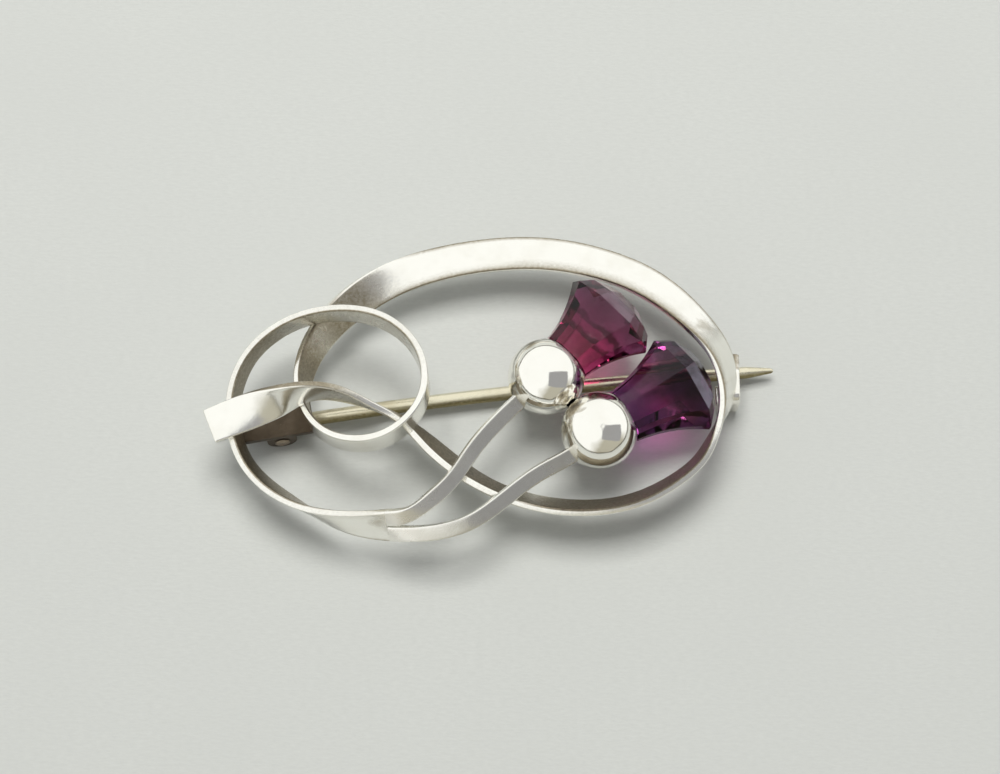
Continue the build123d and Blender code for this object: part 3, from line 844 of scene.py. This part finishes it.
def purpleStone(look):
    finish, tree = newFinish(look["finish"])
    place = add(tree, "TexCoord").outputs["Object"]
    cloud = add(tree, "TexNoise", Vector=place, Scale=420.0, Detail=4.0, Roughness=0.6).outputs["Fac"]
    fleck = add(tree, "TexNoise", Vector=place, Scale=2100.0, Detail=3.0).outputs["Fac"]
    turn = math.radians(brooch[look["globe"]]["turn"])
    axis = Vector((math.cos(turn), math.sin(turn), 0))
    square = add(tree, "Mapping", Vector=place, Rotation=(0, 0, -turn))
    drawnOut = add(tree, "Mapping", Vector=square.outputs[0], Scale=(0.22, 1.0, 0.8))
    streak = add(tree, "TexNoise", Vector=drawnOut.outputs[0], Scale=520.0, Detail=2.0).outputs["Fac"]
    # how far out a spot lies, a little uneven, picks its band
    bands = look["bands"]
    start, end = bands[0][0], bands[-1][0]
    foot = axis.dot(Vector(brooch[look["globe"]]["centre"])) + start
    share = spread(tree, alongAxis(tree, place, axis), foot * mm, (foot + end - start) * mm)
    share = sums(tree, "ADD", share, spread(tree, cloud, 0.3, 0.7, -0.06, 0.06))
    ramp = add(tree, "ValToRGB", Fac=share)
    steps = ramp.color_ramp.elements
    for at, tone in bands[1:-1]:
        steps.new((at - start) / (end - start))
    for step, (at, tone) in zip(steps, bands):
        step.position = (at - start) / (end - start)
        step.color = (*tone, 1)
    tint = blendColour(tree, spread(tree, cloud, 0.4, 0.75, 0.0, 0.45), ramp.outputs[0], stones["mist"])
    tint = blendColour(tree, spread(tree, streak, 0.46, 0.6, 0.0, look["streaks"]), tint, look["streakTone"])
    rough = spread(tree, fleck, 0.5, 0.8, 0.02, 0.09)
    bump = add(tree, "Bump", Height=cloud, Strength=0.15, Distance=0.00004)
    shader = add(tree, "BsdfPrincipled", Base_Color=tint, Roughness=rough, Normal=bump.outputs[0],
                 Transmission_Weight=1.0, IOR=stones["refraction"])
    soak = add(tree, "VolumeAbsorption", Color=(*look["depth"], 1), Density=look["density"])
    # the bevels that face up and outwards shine grey
    upOut = (axis + Vector((0, 0, 0.9))).normalized()
    facing = alongAxis(tree, add(tree, "NewGeometry").outputs["Normal"], upOut)
    shiny = sums(tree, "MULTIPLY", spread(tree, facing, 0.8, 0.93, 0.0, look["shine"]),
                 spread(tree, cloud, 0.4, 0.62, 1.0, 0.35))
    sheen = add(tree, "BsdfPrincipled", Base_Color=(*look["shineTone"], 1), Metallic=1.0, Roughness=0.18)
    faced = add(tree, "MixShader", Fac=shiny)
    tree.links.new(shader.outputs[0], faced.inputs[1])
    tree.links.new(sheen.outputs[0], faced.inputs[2])
    add(tree, "OutputMaterial", Surface=faced.outputs[0], Volume=soak.outputs[0])
    return finish


for stoneName in ("upper_stone", "lower_stone"):
    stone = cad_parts[stoneName]
    stone.data.materials.clear()
    stone.data.materials.append(purpleStone(stones[stoneName]))
    worn = stone.modifiers.new("wornFacets", "BEVEL")
    worn.width = stones["edge"] * mm
    worn.segments = 2
    worn.limit_method = "ANGLE"
    worn.angle_limit = math.radians(stones["wornAngle"])
print("thistle brooch: stones")


# ground, light and camera; sizes and places in metres
studio = {
    "ground": (0.60, 0.615, 0.585),
    "groundSize": 1.2,
    "key": {"place": (-0.02, 0.15, 0.47), "aim": (0, 0, 0.004), "width": 0.28, "height": 0.24,
            "power": 2.1, "colour": (1.0, 0.99, 0.97)},
    "front": (0.42, -0.90, 0.0),       # where the tent is dimmer
    "sky": {"white": (0.33, 0.335, 0.34), "front": (0.20, 0.19, 0.18), "horizon": (0.08, 0.075, 0.07)},
    # the same tent as the silver shows it
    "tent": {"white": (1.04, 1.05, 1.03), "front": (0.48, 0.46, 0.38), "horizon": (0.09, 0.08, 0.05)},
    "tentRadius": 0.8,
    # degrees that the card stands to the right of the camera and below it
    "greyCard": {"right": 36.0, "down": 8.0, "far": 0.3, "width": 0.33, "height": 0.24,
                 "shade": (0.35, 0.35, 0.357)},
    # what the camera looks at and how far off it is, in mm, and its lens
    "view": {"target": (0.615, 0.1, 3.8), "far": 180.0, "lens": 80.03},
}


def flatSheet(name, width, height):
    mesh = bpy.data.meshes.new(name)
    w, h = width / 2, height / 2
    mesh.from_pydata([(-w, -h, 0), (w, -h, 0), (w, h, 0), (-w, h, 0)], [], [(0, 1, 2, 3)])
    return placed(name, mesh)


def groundTone(share):
    return tuple(c * share for c in studio["ground"])


def paleCloth():
    finish, tree = newFinish("paleCloth")
    place = add(tree, "TexCoord").outputs["Object"]
    weave = add(tree, "Mapping", Vector=place, Scale=(1.0, 3.2, 1.0))
    threads = add(tree, "TexNoise", Vector=weave.outputs[0], Scale=1500.0, Detail=4.0, Roughness=0.65)
    clouds = add(tree, "TexNoise", Vector=place, Scale=60.0, Detail=3.0)
    tone = blendColour(tree, spread(tree, threads.outputs["Fac"], 0.3, 0.7), groundTone(0.96), groundTone(1.04))
    cloudy = spread(tree, clouds.outputs["Fac"], 0.3, 0.75, 0.0, 0.5)
    tone = blendColour(tree, cloudy, tone, groundTone(0.965))
    bump = add(tree, "Bump", Height=threads.outputs["Fac"], Strength=0.35, Distance=0.00005)
    cloth = add(tree, "BsdfPrincipled", Base_Color=tone, Roughness=0.85, Normal=bump.outputs[0])
    add(tree, "OutputMaterial", Surface=cloth.outputs[0])
    return finish


ground = flatSheet("ground", studio["groundSize"], studio["groundSize"])
ground.data.materials.append(paleCloth())


def aimed(piece, place, target):
    piece.location = place
    piece.rotation_euler = (Vector(place) - Vector(target)).to_track_quat("Z", "Y").to_euler()


key = studio["key"]
keyLamp = bpy.data.lights.new("keyLight", "AREA")
keyLamp.shape = "RECTANGLE"
keyLamp.size, keyLamp.size_y = key["width"], key["height"]
keyLamp.energy = key["power"]
keyLamp.color = key["colour"]
keyLight = placed("keyLight", keyLamp)
aimed(keyLight, key["place"], key["aim"])
keyLight.visible_glossy = False


def tentTone(tree, direction, tones):
    # a white tent, dimmer towards the front and dark along the horizon
    height = add(tree, "SeparateXYZ", Vector=direction).outputs["Z"]
    ripple = add(tree, "TexNoise", Vector=direction, Scale=1.7, Detail=1.0)
    forward = sums(tree, "ADD", alongAxis(tree, direction, studio["front"]),
                   spread(tree, ripple.outputs["Fac"], 0.3, 0.7, -0.08, 0.08))
    glow = blendColour(tree, spread(tree, forward, 0.55, 0.85), tones["white"], tones["front"])
    return blendColour(tree, spread(tree, height, 0.03, 0.08, 1.0, 0.0), glow, tones["horizon"])


world = bpy.data.worlds.new("studioDome")
bpy.context.scene.world = world
world.use_nodes = True
tree = world.node_tree
tree.nodes.clear()
sky = tentTone(tree, add(tree, "TexCoord").outputs["Generated"], studio["sky"])
add(tree, "OutputWorld", Surface=add(tree, "Background", Color=sky).outputs[0])


def onlyMirrored(piece):
    # seen in the silver alone, and no light for the ground
    for ray in ("camera", "diffuse", "transmission", "shadow", "volume_scatter"):
        setattr(piece, "visible_" + ray, False)


tentMesh = bpy.data.meshes.new("tent")
dome = bmesh.new()
bmesh.ops.create_uvsphere(dome, u_segments=48, v_segments=24, radius=studio["tentRadius"])
bmesh.ops.delete(dome, geom=[v for v in dome.verts if v.co.z < -0.01], context="VERTS")
dome.to_mesh(tentMesh)
dome.free()
onlyMirrored(placed("tent", tentMesh))
finish, tree = newFinish("tentWhite")
outwards = add(tree, "VectorMath", {"operation": "NORMALIZE"})
tree.links.new(add(tree, "TexCoord").outputs["Object"], outwards.inputs[0])
shade = add(tree, "Emission", Color=tentTone(tree, outwards.outputs[0], studio["tent"]))
add(tree, "OutputMaterial", Surface=shade.outputs[0])
tentMesh.materials.append(finish)

card = studio["greyCard"]
greyCard = flatSheet("greyCard", card["width"], card["height"])
onlyMirrored(greyCard)
towards = viewBack.copy()
towards.rotate(Matrix.Rotation(math.radians(card["right"]), 3, viewUp))
towards.rotate(Matrix.Rotation(math.radians(card["down"]), 3, "X"))
cardRight = viewUp.cross(towards).normalized()
greyCard.matrix_world = basisOf(cardRight, towards.cross(cardRight), towards, towards * card["far"])
finish, tree = newFinish("cardGrey")
shade = add(tree, "Emission", Color=(*card["shade"], 1))
add(tree, "OutputMaterial", Surface=shade.outputs[0])
greyCard.data.materials.append(finish)

view = studio["view"]
lens = bpy.data.cameras.new("camera")
lens.lens = view["lens"]
lens.sensor_width = 36.0
lens.clip_start, lens.clip_end = 0.01, 5.0
camera = placed("camera", lens)
aimed(camera, (Vector(view["target"]) + viewBack * view["far"]) * mm, Vector(view["target"]) * mm)
bpy.context.scene.camera = camera
bpy.context.scene.view_settings.view_transform = "Standard"
print("thistle brooch: studio ready")
